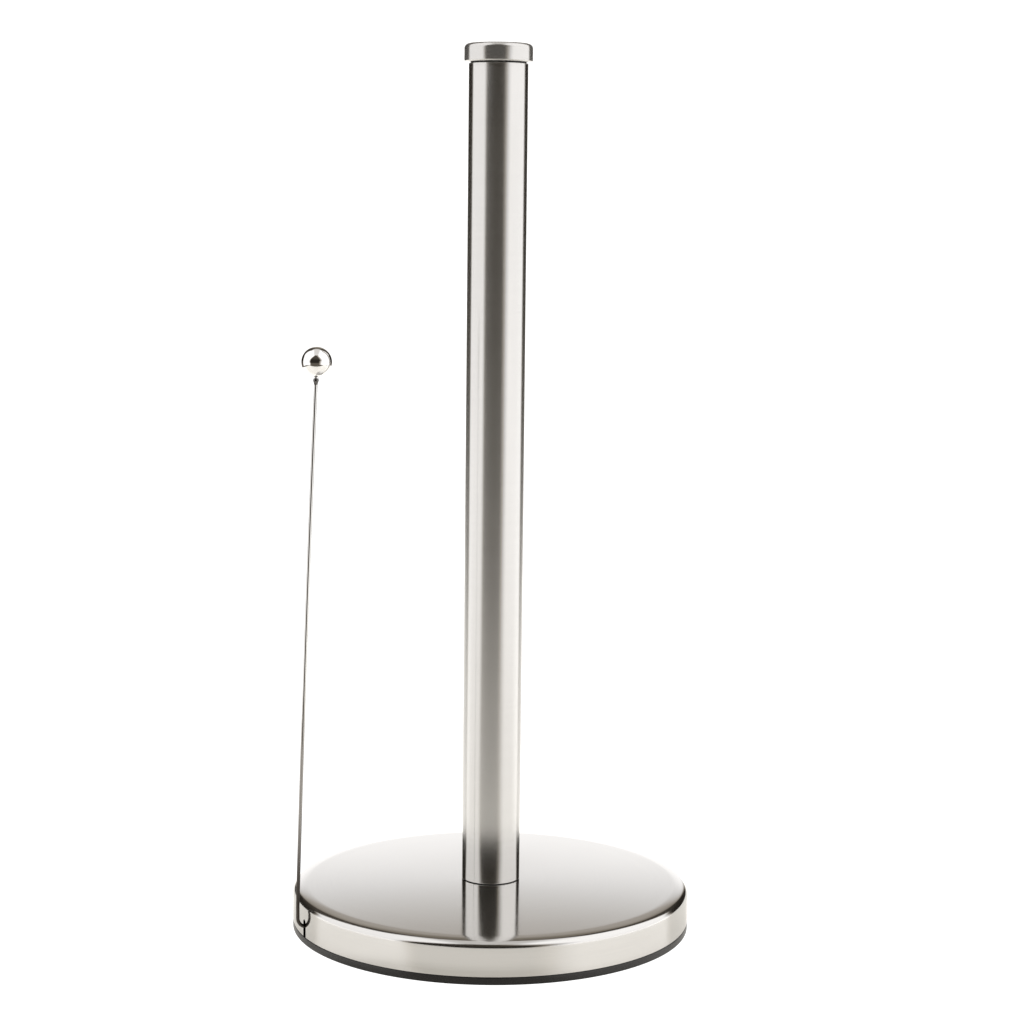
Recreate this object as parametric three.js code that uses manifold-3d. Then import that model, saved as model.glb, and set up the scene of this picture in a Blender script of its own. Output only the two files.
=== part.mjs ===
// Counter-top paper towel holder: a weighted round base under a pressed steel cover, a tubular mast
// with a turned cap, and a sprung wire arm with a ball end that keeps the loose sheet on the roll.
// Millimetres, +Z up. The origin is the middle of the foot pad's underside, on the mast's axis.
import * as THREE from "three";
import { mergeVertices } from "three/addons/utils/BufferGeometryUtils.js";
import Module from "manifold-3d";

const wasm = await Module();
wasm.setup();

// ---- driving dimensions ----------------------------------------------------------------------
const GAP = 0.3; // between pieces that touch on the real object
const ROUND = 40; // sides of a round piece that shows
const SMALL_ROUND = 20; // sides of a small round piece
const BASE_ROUND = 64; // sides of the base, which is the widest round

// base cover: a pressed dish, upside down, 0.8 mm thick
const BASE_R = 85;
const SHEET = 0.8;
const SKIRT_Z = 3.4; // lower edge of the steel
const SHOULDER_R = 3; // rounding between the skirt and the crown
const SHOULDER_Z = 14.97; // middle of that rounding
const SHOULDER_TO = 75; // it ends this many degrees above level, where a wider rounding goes on
const BLEND_R = 20; // the wider rounding, between the shoulder and the crown
const CROWN_TILT = 2.2; // slope of the crown's edge, in degrees
const SEAT_R = 13; // flat seat for the mast in the middle of the crown

// black plate that closes the base from below, and the pad under it
const PLATE_R = 85; // its rim lies flush under the steel
const PLATE_Z = 0.15; // and stops short of the table
const PLATE_EDGE_R = 0.4; // rounding of the rim's lower edge
const PLATE_FLOOR_Z = 3.3;
const PLATE_WALL_R = 83.8; // a wall goes on up inside the cover
const PLATE_WALL_Z = 8;
const PLATE_WALL = 2;
const PLATE_NOTCH_W = 5; // gap in that wall for the wire
const PAD_R = 78;
const PAD_T = 1.6;

// four screws that hold the plate to the weight
const PLATE_SCREW_CIRCLE_R = 50;
const PLATE_SCREW_R = 2; // M4
const PLATE_SCREW_HEAD_R = 3.8;
const PLATE_SCREW_HEAD_Z = 2.1;
const PLATE_SCREW_NECK_Z = 4.3;
const PLATE_SCREW_END_Z = 14;
const PLATE_BOSS_R = 6; // round each screw

// cast iron weight
const BALLAST_R = 74;
const BALLAST_Z = 7;
const POCKET_FROM_X = 54; // pocket for the arm's bracket, open to the rim
const POCKET_W = 25;

// mast
const MAST_R = 12.4;
const MAST_WALL = 0.8;
const MAST_TOP_Z = 366;
const PLUG_TOP_Z = 42;
const BOLT_R = 4; // M8
const BOLT_HEAD_Z = 3.4;
const BOLT_HEAD_H = 5.2;
const BOLT_ACROSS_FLATS = 13;
const BOLT_END_Z = 37;
const LOCK_WASHER_R = 7.2;
const LOCK_WASHER_T = 1.9;
const LOCK_WASHER_SPLIT = 1.2;
const WASHER_R = 8;
const COUNTERBORE_R = 10;
const COUNTERBORE_Z = 13;

// cap
const CAP_R = 14.3;
const CAP_Z = 366.6;
const CAP_TOP_Z = 374.2;
const CAP_EDGE_R = 2; // rounding of its top edge
const CAP_BEVEL = 0.6;
const CAP_STUD_R = 3;
const CAP_STUD_Z = 354;
const FLANGE_T = 0.4; // bush between the cap and the tube
const FLANGE_INSET = 0.8;

// arm: a bent wire on a sprung hub that turns on a pin inside the base
const ARM_AZIMUTH = THREE.MathUtils.degToRad(204); // from +X, anticlockwise seen from above
const WIRE_R = 0.75;
const PIVOT_X = 70; // from the mast's axis, outwards along the arm
const PIVOT_Z = 7.9;
const WIRE_BEND_R = 4;
const WIRE_FOOT_X = 87.9; // where the wire turns upright, outside the skirt
const WIRE_LEAN_FOOT = 0.0285; // how far it leans towards the mast, per mm of height, at its foot
const WIRE_LEAN_TOP = 0.0455; // and at the ball
const BALL_R = 6.3;
const BALL_Z = 244;
const NECK_R = 1.15; // brazed neck between the wire and the ball
const NECK_L = 3;
const SLOT_W = 2.4; // slot in the skirt that the wire passes through
const SLOT_TOP_Z = 11;
const PIN_R = 1.5;
const HUB_R = 3.6;
const HUB_END = 9; // the hub's block reaches this far out from the pivot
const HUB_BLOCK_H = 4.2;
const HUB_LEFT_Y = -7.9;
const HUB_RIGHT_Y = 1.2;
const BLOCK_HALF_W = 3.2;
const BLOCK_FROM_X = 4.2; // the wide part of the block starts here, clear of the spring
const WIRE_SOCKET_X = 2.9; // the wire's end lies this far from the pivot
const BRACKET_T = 1.2;
const BRACKET_HALF_W = 9.5;
const WEB_Z = 11.9; // underside of the bracket's flat top
const EAR_Z = 4.6; // lower end of its ears
const EAR_HALF_L = 4.5;
const WEB_FROM_X = -15; // from the pivot, towards the mast
const BRACKET_SCREW_X = -10.5;
const BRACKET_SCREW_Y = [-5, 5];
const BRACKET_SCREW_R = 1.5; // M3
const BRACKET_SCREW_HEAD_H = 1.5;
const BRACKET_SCREW_DEPTH = 3; // into the weight
const SET_SCREW_X = 6.2;
const SET_SCREW_R = 1.25; // M2.5
const LIP_HALF_W = 4; // stop on the bracket, over the end of the hub's block
const CLIP_T = 0.6;
const CLIP_Y = BRACKET_HALF_W + GAP; // inner face of each clip
const CLIP_GROOVE_R = 1.1;
const CLIP_R = 3;
const SPRING_R = 3; // to the middle of the spring's wire
const SPRING_WIRE_R = 0.5;
const SPRING_TURNS = 4.25;
const SPRING_START_Y = 2.2;
const SPRING_END_Y = 7.3;

// finishes: colour, roughness, metalness
const FINISH = {
  brushed: [0xb9b6b1, 0.32, 1],
  polished: [0xd8d6d2, 0.08, 1],
  zinc: [0xa9abab, 0.45, 1],
  iron: [0x3c3b3a, 0.75, 0.6],
  blackPlastic: [0x1c1b1a, 0.5, 0],
  rubber: [0x141414, 0.85, 0],
  nylon: [0x101010, 0.6, 0],
  springSteel: [0x7d7c7a, 0.4, 1],
};

// ---- helpers -----------------------------------------------------------------------------------
const holder = new THREE.Group();
const arm = new THREE.Group(); // its own frame: X outwards from the mast, Z up
arm.rotation.z = ARM_AZIMUTH;
holder.add(arm);

function solidOf(geometry) {
  const bare = geometry.index ? geometry.toNonIndexed() : geometry.clone();
  bare.deleteAttribute("normal");
  bare.deleteAttribute("uv");
  const merged = mergeVertices(bare, 1e-4);
  const mesh = new wasm.Mesh({
    numProp: 3,
    vertProperties: merged.attributes.position.array,
    triVerts: new Uint32Array(merged.index.array),
  });
  return new wasm.Manifold(mesh);
}

function geometryOf(solid) {
  const mesh = solid.getMesh();
  const geometry = new THREE.BufferGeometry();
  geometry.setAttribute("position", new THREE.BufferAttribute(mesh.vertProperties, 3));
  geometry.setIndex(new THREE.BufferAttribute(mesh.triVerts, 1));
  geometry.computeVertexNormals();
  return geometry;
}

function cut(geometry, ...tools) {
  return geometryOf(tools.reduce((left, tool) => left.subtract(solidOf(tool)), solidOf(geometry)));
}

function join(geometry, ...more) {
  return geometryOf(more.reduce((sum, piece) => sum.add(solidOf(piece)), solidOf(geometry)));
}

function addPiece(group, name, geometry, finish) {
  const [color, roughness, metalness] = FINISH[finish];
  const material = new THREE.MeshStandardMaterial({ color, roughness, metalness });
  const mesh = new THREE.Mesh(geometry, material);
  mesh.name = name;
  group.add(mesh);
  return mesh;
}

// A closed outline of [radius, z] points, spun round the Z axis. It runs anticlockwise, seen with the
// radius to the right and Z up.
function spin(outline, sides = ROUND) {
  const points = outline.map(([r, z]) => new THREE.Vector2(r, z));
  points.push(points[0].clone());
  return new THREE.LatheGeometry(points, sides).rotateX(Math.PI / 2);
}

// Points on an arc in the [radius, z] plane, from angle a to angle b in degrees.
function arc(centreR, centreZ, radius, a, b, steps) {
  return Array.from({ length: steps + 1 }, (_, i) => {
    const angle = THREE.MathUtils.degToRad(a + ((b - a) * i) / steps);
    return [centreR + radius * Math.cos(angle), centreZ + radius * Math.sin(angle)];
  });
}

// A ring, or a rod where inner is 0.
function ring(outer, inner, low, high, sides = SMALL_ROUND) {
  return spin([[inner, low], [outer, low], [outer, high], [inner, high]], sides);
}

function rodAlongY(radius, from, to, sides = SMALL_ROUND) {
  return ring(radius, 0, from, to, sides).rotateX(-Math.PI / 2);
}

function rodAlongX(radius, from, to, sides = SMALL_ROUND) {
  return ring(radius, 0, from, to, sides).rotateY(Math.PI / 2);
}

function block(x0, x1, y0, y1, z0, z1) {
  const box = new THREE.BoxGeometry(x1 - x0, y1 - y0, z1 - z0);
  return box.translate((x0 + x1) / 2, (y0 + y1) / 2, (z0 + z1) / 2);
}

// A round section swept along a curve.
function sweep(curve, radius, steps, sides) {
  const section = new THREE.Shape();
  section.absarc(0, 0, radius, 0, 2 * Math.PI);
  return new THREE.ExtrudeGeometry(section, {
    extrudePath: curve,
    steps,
    curveSegments: sides / 2,
    bevelEnabled: false,
  });
}

// ---- base --------------------------------------------------------------------------------------
// The cover's line runs smoothly from the skirt over the shoulder, the blend and the crown. Each
// centre lies on the line through the last one along which the two roundings meet.
const SHOULDER_X = BASE_R - SHOULDER_R;
const blendAngle = THREE.MathUtils.degToRad(SHOULDER_TO);
const BLEND_X = SHOULDER_X - (BLEND_R - SHOULDER_R) * Math.cos(blendAngle);
const BLEND_Z = SHOULDER_Z - (BLEND_R - SHOULDER_R) * Math.sin(blendAngle);
const crownAngle = THREE.MathUtils.degToRad(CROWN_TILT);
const CROWN_R = BLEND_R + BLEND_X / Math.sin(crownAngle);
const CROWN_CENTRE_Z = BLEND_Z - BLEND_X / Math.tan(crownAngle);

// Height of a surface that lies depth under the crown, at radius r.
function crownZ(r, depth) {
  return CROWN_CENTRE_Z + Math.sqrt((CROWN_R - depth) ** 2 - r ** 2);
}

const SEAT_Z = crownZ(SEAT_R, 0);

// Points over the crown from radius a to radius b.
function crownPoints(a, b, depth, steps) {
  return Array.from({ length: steps + 1 }, (_, i) => {
    const r = a + ((b - a) * i) / steps;
    return [r, crownZ(r, depth)];
  });
}

// The cover's line from the top of the skirt to the seat's edge, depth under its outer face.
function coverLine(depth, shoulderSteps, crownSteps) {
  const blendStep = 4;
  const crownEdgeR = BLEND_X + BLEND_R * Math.sin(crownAngle);
  return [
    ...arc(SHOULDER_X, SHOULDER_Z, SHOULDER_R - depth, 0, SHOULDER_TO, shoulderSteps),
    ...arc(BLEND_X, BLEND_Z, BLEND_R - depth, SHOULDER_TO + blendStep, 90 - CROWN_TILT, 2),
    ...crownPoints(crownEdgeR - 8, SEAT_R, depth, crownSteps),
  ];
}

function slotTool() {
  const radius = SLOT_W / 2;
  const outline = new THREE.Shape();
  outline.moveTo(-radius, 0);
  outline.lineTo(radius, 0);
  outline.absarc(0, SLOT_TOP_Z - radius, radius, 0, Math.PI);
  outline.closePath();
  const tool = new THREE.ExtrudeGeometry(outline, { depth: 6, bevelEnabled: false, curveSegments: 8 });
  tool.applyMatrix4(
    new THREE.Matrix4().makeBasis(
      new THREE.Vector3(0, 1, 0),
      new THREE.Vector3(0, 0, 1),
      new THREE.Vector3(1, 0, 0),
    ),
  );
  return tool.translate(BASE_R - 3, 0, 0).rotateZ(ARM_AZIMUTH);
}

function baseCover() {
  const holeR = BOLT_R + 0.5;
  const outline = [
    [BASE_R - SHEET, SKIRT_Z],
    [BASE_R, SKIRT_Z],
    ...coverLine(0, 4, 3),
    [holeR, SEAT_Z],
    [holeR, SEAT_Z - SHEET],
    ...coverLine(SHEET, 2, 2).reverse(),
  ];
  addPiece(holder, "base_cover", cut(spin(outline, BASE_ROUND), slotTool()), "brushed");
}

const plateScrewPlaces = [45, 135, 225, 315].map((degrees) => {
  const angle = ARM_AZIMUTH + THREE.MathUtils.degToRad(degrees);
  return [PLATE_SCREW_CIRCLE_R * Math.cos(angle), PLATE_SCREW_CIRCLE_R * Math.sin(angle)];
});

function ballastWeight() {
  const depth = SHEET + GAP;
  const outline = [
    [BOLT_R + 0.5, COUNTERBORE_Z],
    [COUNTERBORE_R, COUNTERBORE_Z],
    [COUNTERBORE_R, BALLAST_Z],
    [BALLAST_R, BALLAST_Z],
    ...crownPoints(BALLAST_R, SEAT_R, depth, 2),
    [BOLT_R + 0.5, SEAT_Z - depth],
  ];
  const pocketTop = WEB_Z + BRACKET_T + GAP;
  const half = POCKET_W / 2;
  const pocket = block(POCKET_FROM_X, BALLAST_R + 5, -half, half, BALLAST_Z - 2, pocketTop);
  const bracketHoles = BRACKET_SCREW_Y.map((y) => bracketScrewHole(y));
  const plateHoles = plateScrewPlaces.map(([x, y]) =>
    ring(PLATE_SCREW_R + GAP, 0, BALLAST_Z - 2, PLATE_SCREW_END_Z + GAP).translate(x, y, 0),
  );
  const armTools = [pocket, ...bracketHoles].map((tool) => tool.rotateZ(ARM_AZIMUTH));
  addPiece(holder, "ballast_weight", cut(spin(outline, ROUND), ...armTools, ...plateHoles), "iron");
}

function basePlate() {
  const padZ = PAD_T + GAP;
  const outline = [
    [COUNTERBORE_R + 1, padZ],
    [PAD_R + GAP, padZ],
    [PAD_R + GAP, PLATE_Z],
    ...arc(PLATE_R - PLATE_EDGE_R, PLATE_Z + PLATE_EDGE_R, PLATE_EDGE_R, -90, 0, 2),
    [PLATE_R, SKIRT_Z - GAP],
    [PLATE_WALL_R, SKIRT_Z - GAP],
    [PLATE_WALL_R, PLATE_WALL_Z],
    [PLATE_WALL_R - PLATE_WALL, PLATE_WALL_Z],
    [PLATE_WALL_R - PLATE_WALL, PLATE_FLOOR_Z],
    [COUNTERBORE_R + 1, PLATE_FLOOR_Z],
  ];
  const bosses = plateScrewPlaces.map(([x, y]) =>
    ring(PLATE_BOSS_R, 0, padZ, BALLAST_Z - GAP).translate(x, y, 0),
  );
  const holes = plateScrewPlaces.flatMap(([x, y]) => [
    ring(PLATE_SCREW_R + GAP, 0, 0, BALLAST_Z + 1).translate(x, y, 0),
    ring(PLATE_SCREW_HEAD_R + GAP, 0, 0, PLATE_SCREW_NECK_Z + GAP).translate(x, y, 0),
  ]);
  const half = PLATE_NOTCH_W / 2;
  const inner = PLATE_WALL_R - PLATE_WALL - 1;
  const wireNotch = block(inner, PLATE_R + 1, -half, half, PLATE_FLOOR_Z, PLATE_WALL_Z + 1);
  const plate = join(spin(outline, BASE_ROUND), ...bosses);
  addPiece(holder, "base_plate", cut(plate, wireNotch.rotateZ(ARM_AZIMUTH), ...holes), "blackPlastic");
}

function footPad() {
  const chamfer = 0.3;
  const outline = [
    [0, 0],
    [PAD_R - chamfer, 0],
    [PAD_R, chamfer],
    [PAD_R, PAD_T],
    [0, PAD_T],
  ];
  addPiece(holder, "foot_pad", spin(outline, ROUND), "rubber");
}

// A pan-head screw that points up, spun round its own axis, with a pointed thread end.
function screw(headR, headZ, neckZ, shankR, endZ) {
  const crest = (neckZ - headZ) * 0.35;
  const outline = [
    [0, headZ],
    [headR - crest, headZ],
    [headR, headZ + crest],
    [headR, neckZ],
    [shankR, neckZ],
    [shankR, endZ - shankR / 2],
    [shankR / 2, endZ],
    [0, endZ],
  ];
  return spin(outline, 16);
}

// A crossed recess for a screwdriver, cut in from below.
function crossRecess(headZ, width, depth) {
  const slit = block(-width / 2, width / 2, -width / 8, width / 8, headZ - 1, headZ + depth);
  return join(slit, slit.clone().rotateZ(Math.PI / 2));
}

function basePlateScrews() {
  const headZ = PLATE_SCREW_HEAD_Z;
  const body = screw(PLATE_SCREW_HEAD_R, headZ, PLATE_SCREW_NECK_Z, PLATE_SCREW_R, PLATE_SCREW_END_Z);
  const geometry = cut(body, crossRecess(headZ, 4, 1.3));
  plateScrewPlaces.forEach(([x, y], i) => {
    const piece = addPiece(holder, `base_plate_screw_${i + 1}`, geometry, "zinc");
    piece.position.set(x, y, 0);
  });
}

// ---- mast --------------------------------------------------------------------------------------
function mast() {
  const footZ = SEAT_Z + GAP;
  const boreR = MAST_R - MAST_WALL;
  addPiece(holder, "mast_tube", ring(MAST_R, boreR, footZ, MAST_TOP_Z, ROUND), "brushed");
  const plug = ring(boreR - GAP, 0, footZ, PLUG_TOP_Z, ROUND);
  const thread = ring(BOLT_R + GAP, 0, footZ - 1, BOLT_END_Z + 1);
  addPiece(holder, "mast_foot_plug", cut(plug, thread), "zinc");
}

function mastBolt() {
  const headTopZ = BOLT_HEAD_Z + BOLT_HEAD_H;
  const headR = BOLT_ACROSS_FLATS / 2 / Math.cos(Math.PI / 6);
  const head = ring(headR, 0, BOLT_HEAD_Z, headTopZ, 6);
  const shank = spin([
    [0, headTopZ - 1],
    [BOLT_R, headTopZ - 1],
    [BOLT_R, BOLT_END_Z - 1],
    [BOLT_R - 1, BOLT_END_Z],
    [0, BOLT_END_Z],
  ], SMALL_ROUND);
  addPiece(holder, "mast_bolt", join(head, shank), "zinc");

  const springWasherZ = headTopZ + GAP;
  const springWasherTopZ = springWasherZ + LOCK_WASHER_T;
  const half = LOCK_WASHER_SPLIT / 2;
  const split = block(0, LOCK_WASHER_R + 1, -half, half, springWasherZ - 1, springWasherTopZ + 1);
  const lockRing = cut(ring(LOCK_WASHER_R, BOLT_R + GAP, springWasherZ, springWasherTopZ), split);
  addPiece(holder, "bolt_lock_washer", lockRing, "springSteel");

  const washerZ = springWasherTopZ + GAP;
  addPiece(holder, "bolt_washer", ring(WASHER_R, BOLT_R + GAP, washerZ, COUNTERBORE_Z - GAP), "zinc");
}

function topCap() {
  const outline = [
    [0, CAP_STUD_Z],
    [CAP_STUD_R, CAP_STUD_Z],
    [CAP_STUD_R, CAP_Z],
    [CAP_R - CAP_BEVEL, CAP_Z],
    [CAP_R, CAP_Z + CAP_BEVEL],
    ...arc(CAP_R - CAP_EDGE_R, CAP_TOP_Z - CAP_EDGE_R, CAP_EDGE_R, 0, 90, 5),
    [0, CAP_TOP_Z],
  ];
  addPiece(holder, "top_cap", spin(outline, ROUND), "brushed");
}

// Ribbed nylon bush: pressed into the tube, with a thin flange that keeps the cap off the tube's end.
function capBush() {
  const boreR = CAP_STUD_R + GAP;
  const bodyR = MAST_R - MAST_WALL - GAP;
  const bodyZ = CAP_STUD_Z - 2;
  const flangeZ = (MAST_TOP_Z + CAP_Z - FLANGE_T) / 2;
  const ribs = 4;
  const ribPitch = (MAST_TOP_Z - bodyZ) / ribs;
  const barbs = Array.from({ length: ribs }, (_, i) => [
    [bodyR - 0.7, bodyZ + i * ribPitch],
    [bodyR, bodyZ + (i + 0.7) * ribPitch],
  ]).flat();
  const outline = [
    [boreR, bodyZ],
    ...barbs,
    [bodyR, flangeZ],
    [MAST_R - FLANGE_INSET, flangeZ],
    [MAST_R - FLANGE_INSET, flangeZ + FLANGE_T],
    [boreR, flangeZ + FLANGE_T],
  ];
  addPiece(holder, "cap_bush", spin(outline, 24), "nylon");
}

// ---- arm ---------------------------------------------------------------------------------------
const WIRE_UPRIGHT_Z = PIVOT_Z + WIRE_BEND_R + 7; // above this the wire leans and bows inwards
const WIRE_RISE = BALL_Z - WIRE_UPRIGHT_Z;

// How far the wire stands out from the mast's axis at a share of its rise.
function bowX(share) {
  const lean = WIRE_LEAN_FOOT * share + ((WIRE_LEAN_TOP - WIRE_LEAN_FOOT) / 2) * share ** 2;
  return WIRE_FOOT_X - lean * WIRE_RISE;
}
const BALL_X = bowX(1);

// Level out of the hub, round the bend, upright outside the skirt, then leaning and bowing inwards.
function wirePoints() {
  const bend = arc(WIRE_FOOT_X - WIRE_BEND_R, PIVOT_Z + WIRE_BEND_R, WIRE_BEND_R, -90, 0, 8);
  const steps = 22;
  const endShare = 1 - 1 / WIRE_RISE;
  const bow = Array.from({ length: steps + 1 }, (_, i) => {
    const share = (endShare * i) / steps;
    return [bowX(share), WIRE_UPRIGHT_Z + WIRE_RISE * share];
  });
  const all = [[PIVOT_X + WIRE_SOCKET_X + 0.4, PIVOT_Z], ...bend, ...bow];
  return all.map(([x, z]) => new THREE.Vector3(x, 0, z));
}

// A line through given points, stepped from point to point and not by length.
class PointLine extends THREE.Curve {
  constructor(points) {
    super();
    this.points = points;
  }
  getPointAt(share) {
    return this.points[Math.round(share * (this.points.length - 1))].clone();
  }
  getTangentAt(share) {
    const last = this.points.length - 1;
    const i = Math.round(share * last);
    const after = this.points[Math.min(i + 1, last)];
    const before = this.points[Math.max(i - 1, 0)];
    return after.clone().sub(before).normalize();
  }
  getPoint(share) {
    return this.getPointAt(share);
  }
  getTangent(share) {
    return this.getTangentAt(share);
  }
}

// The wire ends inside the ball, above a small brazed neck that flares to meet it.
function armWire() {
  const points = wirePoints();
  const wire = sweep(new PointLine(points), WIRE_R, points.length - 1, 8);
  const neck = spin([
    [0, -BALL_R - NECK_L],
    [WIRE_R * 0.9, -BALL_R - NECK_L],
    [WIRE_R, -BALL_R - NECK_L * 0.87],
    [NECK_R, -BALL_R - NECK_L * 0.3],
    [NECK_R, -BALL_R - 0.2],
    [0, -BALL_R - 0.2],
  ], 16);
  neck.rotateY(-WIRE_LEAN_TOP).translate(BALL_X, 0, BALL_Z);
  addPiece(arm, "arm_wire", join(wire, neck), "polished");
}

function armBall() {
  const bore = ring(WIRE_R + GAP, 0, -BALL_R - 1, -0.5, 12);
  const sphere = new THREE.SphereGeometry(BALL_R, 24, 14).rotateX(Math.PI / 2);
  const ball = addPiece(arm, "arm_ball", cut(sphere, bore), "polished");
  ball.position.set(BALL_X, 0, BALL_Z);
  ball.rotation.y = -WIRE_LEAN_TOP;
}

// The hub and its neighbours are drawn round the pivot, at the middle of this group.
const pivot = new THREE.Group();
pivot.position.set(PIVOT_X, 0, PIVOT_Z);
arm.add(pivot);

function armHub() {
  const half = HUB_BLOCK_H / 2;
  const besideSpring = block(BLOCK_FROM_X, HUB_END, -BLOCK_HALF_W, BLOCK_HALF_W, -half, half);
  const root = block(0, HUB_END, -BLOCK_HALF_W, HUB_RIGHT_Y, -half, half);
  const barrel = rodAlongY(HUB_R, HUB_LEFT_Y, HUB_RIGHT_Y);
  const pinBore = rodAlongY(PIN_R + 0.15, HUB_LEFT_Y - 1, HUB_RIGHT_Y + 1);
  const wireSocket = rodAlongX(WIRE_R + GAP, WIRE_SOCKET_X, HUB_END + 1, 12);
  const screwHole = ring(SET_SCREW_R + GAP, 0, 0, half + 1, 16).translate(SET_SCREW_X, 0, 0);
  const hub = cut(join(barrel, root, besideSpring), pinBore, wireSocket, screwHole);
  addPiece(pivot, "arm_hub", hub, "zinc");
}

function hubSetScrew() {
  const low = WIRE_R + GAP;
  const high = HUB_BLOCK_H / 2 - 0.1;
  const socket = ring(0.7, 0, high - 0.6, high + 1, 6);
  const body = ring(SET_SCREW_R, 0, low, high, 16);
  const piece = addPiece(pivot, "hub_set_screw", cut(body, socket), "zinc");
  piece.position.x = SET_SCREW_X;
}

function pivotPin() {
  const end = CLIP_Y + CLIP_T + GAP + 0.8;
  const grooveIn = CLIP_Y - 0.1;
  const grooveOut = CLIP_Y + CLIP_T + 0.1;
  const half = [
    [PIN_R, grooveIn],
    [CLIP_GROOVE_R, grooveIn],
    [CLIP_GROOVE_R, grooveOut],
    [PIN_R, grooveOut],
    [PIN_R, end - 0.3],
    [PIN_R - 0.3, end],
    [0, end],
  ];
  const mirrored = half.map(([r, y]) => [r, -y]).reverse();
  addPiece(pivot, "pivot_pin", spin([...mirrored, ...half], SMALL_ROUND).rotateX(-Math.PI / 2), "zinc");
}

function pinClips() {
  const mouth = block(-CLIP_GROOVE_R, CLIP_GROOVE_R, -CLIP_R - 1, 0, -1, CLIP_T + 1);
  const clip = cut(ring(CLIP_R, CLIP_GROOVE_R + GAP, 0, CLIP_T), mouth).rotateX(-Math.PI / 2);
  const left = addPiece(pivot, "pin_clip_left", clip, "springSteel");
  left.position.y = -CLIP_Y - CLIP_T;
  const right = addPiece(pivot, "pin_clip_right", clip, "springSteel");
  right.position.y = CLIP_Y;
}

// A sheet bracket screwed up under the ballast: a flat web, an ear at each side for the pin, and a
// lip at its outer end that the hub's block rests against.
function pivotBracket() {
  const webLow = WEB_Z - PIVOT_Z;
  const webHigh = webLow + BRACKET_T;
  const w = BRACKET_HALF_W;
  const web = block(WEB_FROM_X, HUB_END, -w, w, webLow, webHigh);
  const ears = [-w, w - BRACKET_T].map((y) =>
    block(-EAR_HALF_L, EAR_HALF_L, y, y + BRACKET_T, EAR_Z - PIVOT_Z, webHigh),
  );
  const lipLow = HUB_BLOCK_H / 2 + GAP;
  const lip = block(HUB_END - BRACKET_T, HUB_END, -LIP_HALF_W, LIP_HALF_W, lipLow, webHigh);
  const pinHole = rodAlongY(PIN_R + GAP, -w - 1, w + 1);
  const screwHoles = BRACKET_SCREW_Y.map((y) =>
    ring(BRACKET_SCREW_R + GAP, 0, webLow - 1, webHigh + 1, 16).translate(BRACKET_SCREW_X, y, 0),
  );
  addPiece(pivot, "pivot_bracket", cut(join(web, ...ears, lip), pinHole, ...screwHoles), "zinc");
}

// In the arm's frame, so that the ballast can be cut with it.
function bracketScrewHole(y) {
  const low = WEB_Z + BRACKET_T;
  const high = low + GAP + BRACKET_SCREW_DEPTH + GAP;
  return ring(BRACKET_SCREW_R + GAP, 0, low, high, 16).translate(PIVOT_X + BRACKET_SCREW_X, y, 0);
}

function bracketScrews() {
  const neckZ = WEB_Z - GAP - PIVOT_Z;
  const headZ = neckZ - BRACKET_SCREW_HEAD_H;
  const endZ = neckZ + GAP + BRACKET_T + GAP + BRACKET_SCREW_DEPTH;
  const geometry = cut(screw(2.7, headZ, neckZ, BRACKET_SCREW_R, endZ), crossRecess(headZ, 2.8, 0.8));
  BRACKET_SCREW_Y.forEach((y, i) => {
    const piece = addPiece(pivot, `bracket_screw_${i + 1}`, geometry, "zinc");
    piece.position.set(BRACKET_SCREW_X, y, 0);
  });
}

// Torsion spring round the pin: one leg under the hub's block, the other up against the web.
function springPoints() {
  const perTurn = 12;
  const steps = SPRING_TURNS * perTurn;
  const coil = Array.from({ length: steps + 1 }, (_, i) => {
    const angle = -Math.PI / 2 - (2 * Math.PI * i) / perTurn;
    const y = SPRING_START_Y + ((SPRING_END_Y - SPRING_START_Y) * i) / steps;
    return new THREE.Vector3(SPRING_R * Math.cos(angle), y, SPRING_R * Math.sin(angle));
  });
  const underBlock = new THREE.Vector3(HUB_END - 1, SPRING_START_Y, -SPRING_R);
  const upToWeb = new THREE.Vector3(-SPRING_R, SPRING_END_Y, WEB_Z - PIVOT_Z - GAP);
  return [underBlock, ...coil, upToWeb];
}

function armSpring() {
  const points = springPoints();
  const spring = sweep(new PointLine(points), SPRING_WIRE_R, points.length - 1, 6);
  addPiece(pivot, "arm_spring", spring, "springSteel");
}

// ---- the assembly ------------------------------------------------------------------------------
baseCover();
ballastWeight();
basePlate();
footPad();
basePlateScrews();
mast();
mastBolt();
topCap();
capBush();
armWire();
armBall();
armHub();
hubSetScrew();
pivotPin();
pinClips();
pivotBracket();
bracketScrews();
armSpring();

export default holder;
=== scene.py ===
# %% [markdown]
# # A paper towel holder in brushed and polished steel
#
# A round weighted base, a tall tube for the roll, a low turned cap and a thin sprung wire arm. It
# fixes every size and place, and the pieces made here are the fine versions of its plain solids.
# Everything is in metres, with Z up and the front towards -Y.

import math

import bmesh
import bpy
from mathutils import Matrix, Vector


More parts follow.
